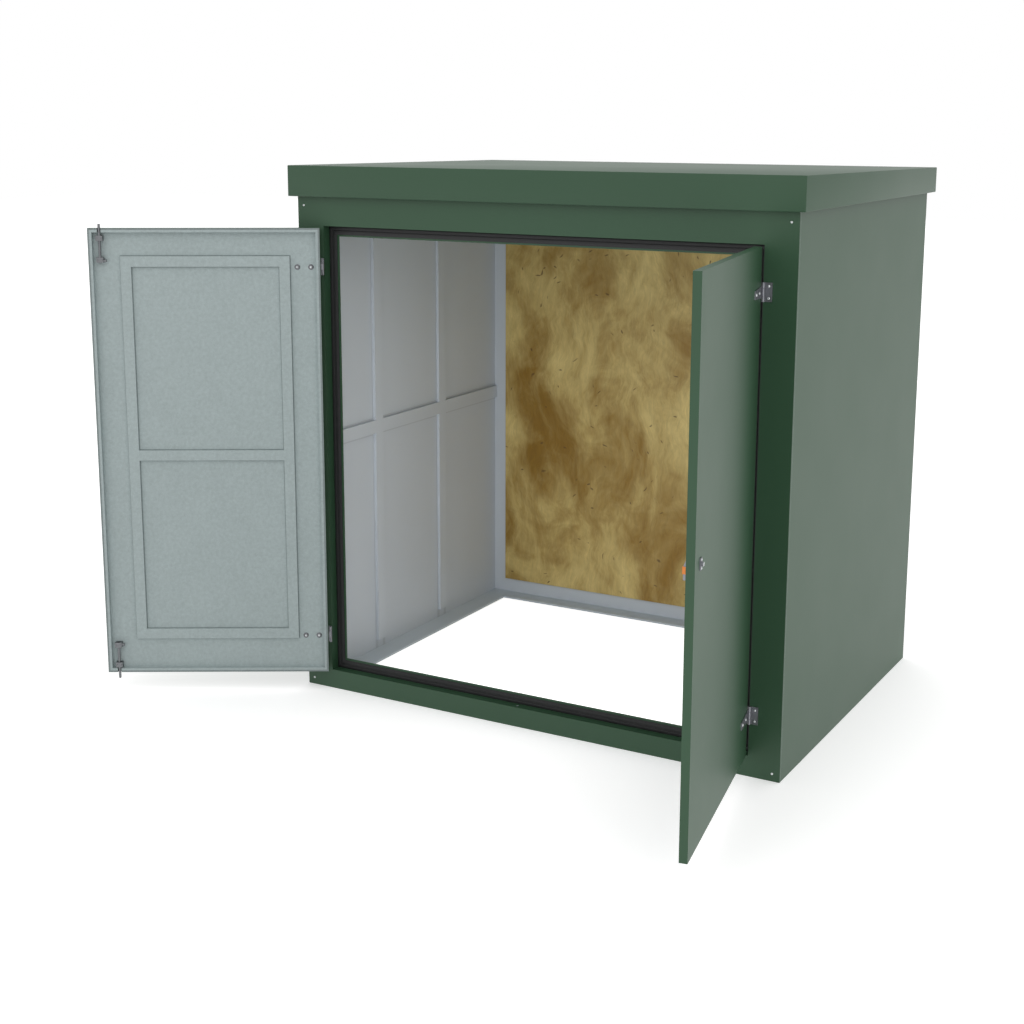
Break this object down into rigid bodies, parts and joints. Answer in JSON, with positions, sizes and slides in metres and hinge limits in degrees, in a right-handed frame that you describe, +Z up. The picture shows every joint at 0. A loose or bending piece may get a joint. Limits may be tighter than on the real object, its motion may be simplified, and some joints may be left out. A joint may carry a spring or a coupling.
{
  "type": "fibreglass walk-in enclosure",
  "caption": "Flat-roofed moulded enclosure with a framed double doorway, two outward-opening doors with shoot bolts and a lock, and a plywood back board.",
  "frame": {"origin": "on the ground, in the middle of the front face's bottom edge, under the front sill", "axes": "+X to the right along the front, +Y from the front to the back, +Z up"},
  "size_m": [2.6739, 2.4078, 2.0703],
  "materials": {
    "green_laminate": "satin gel coat, plain mid green",
    "grey_laminate": "pale grey flow coat with a fine fibre texture",
    "seal_rubber": "black foam rubber strip",
    "plywood": "unpainted plywood, mottled, with fine grain and dark flecks",
    "zinc_steel": "bright zinc-plated steel",
    "orange_plastic": "orange moulded plastic"
  },
  "bodies": {
    "enclosure": {"front_head": "green_laminate", "front_sill": "green_laminate", "front_left_jamb": "green_laminate", "front_right_jamb": "green_laminate", "head_stop": "green_laminate", "sill_stop": "green_laminate", "left_stop": "green_laminate", "right_stop": "green_laminate", "head_seal": "seal_rubber", "sill_seal": "seal_rubber", "left_seal": "seal_rubber", "right_seal": "seal_rubber", "left_wall": "green_laminate", "right_wall": "green_laminate", "back_wall": "green_laminate", "roof_deck": "green_laminate", "front_fascia": "green_laminate", "back_fascia": "green_laminate", "left_fascia": "green_laminate", "right_fascia": "green_laminate", "left_base_flange": "grey_laminate", "right_base_flange": "grey_laminate", "back_base_flange": "grey_laminate", "front_base_flange": "grey_laminate", "left_wall_uprights": "grey_laminate", "left_wall_rail": "grey_laminate", "right_wall_uprights": "grey_laminate", "right_wall_rail": "grey_laminate", "back_board": "plywood", "left_frame_leaves": "zinc_steel", "right_frame_leaves": "zinc_steel"},
    "left_leaf": {"left_door": "green_laminate", "left_door_stiles": "grey_laminate", "left_door_rails": "grey_laminate", "left_door_leaves": "zinc_steel", "bolt_guides": "zinc_steel"},
    "right_leaf": {"right_door": "green_laminate", "right_door_stiles": "grey_laminate", "right_door_rails": "grey_laminate", "right_door_leaves": "zinc_steel", "lock_plate": "zinc_steel", "lock_case": "zinc_steel", "lock_catch": "orange_plastic"},
    "top_shoot_bolt": {"top_bolt": "zinc_steel"},
    "foot_shoot_bolt": {"foot_bolt": "zinc_steel"}
  },
  "joints": [
    {"name": "left_door_hinge", "type": "hinge", "parent": "enclosure", "child": "left_leaf", "pos_m": [-0.885, -0.006, 1], "axis": [0, 0, 1], "range_deg": [-20.6, 149.4]},
    {"name": "right_door_hinge", "type": "hinge", "parent": "enclosure", "child": "right_leaf", "pos_m": [0.885, -0.006, 1], "axis": [0, 0, -1], "range_deg": [-70, 100]},
    {"name": "top_bolt_slide", "type": "slide", "parent": "left_leaf", "child": "top_shoot_bolt", "axis": [0, 0, -1], "range_m": [0, 0.026]},
    {"name": "foot_bolt_slide", "type": "slide", "parent": "left_leaf", "child": "foot_shoot_bolt", "axis": [0, 0, 1], "range_m": [0, 0.036]}
  ]
}
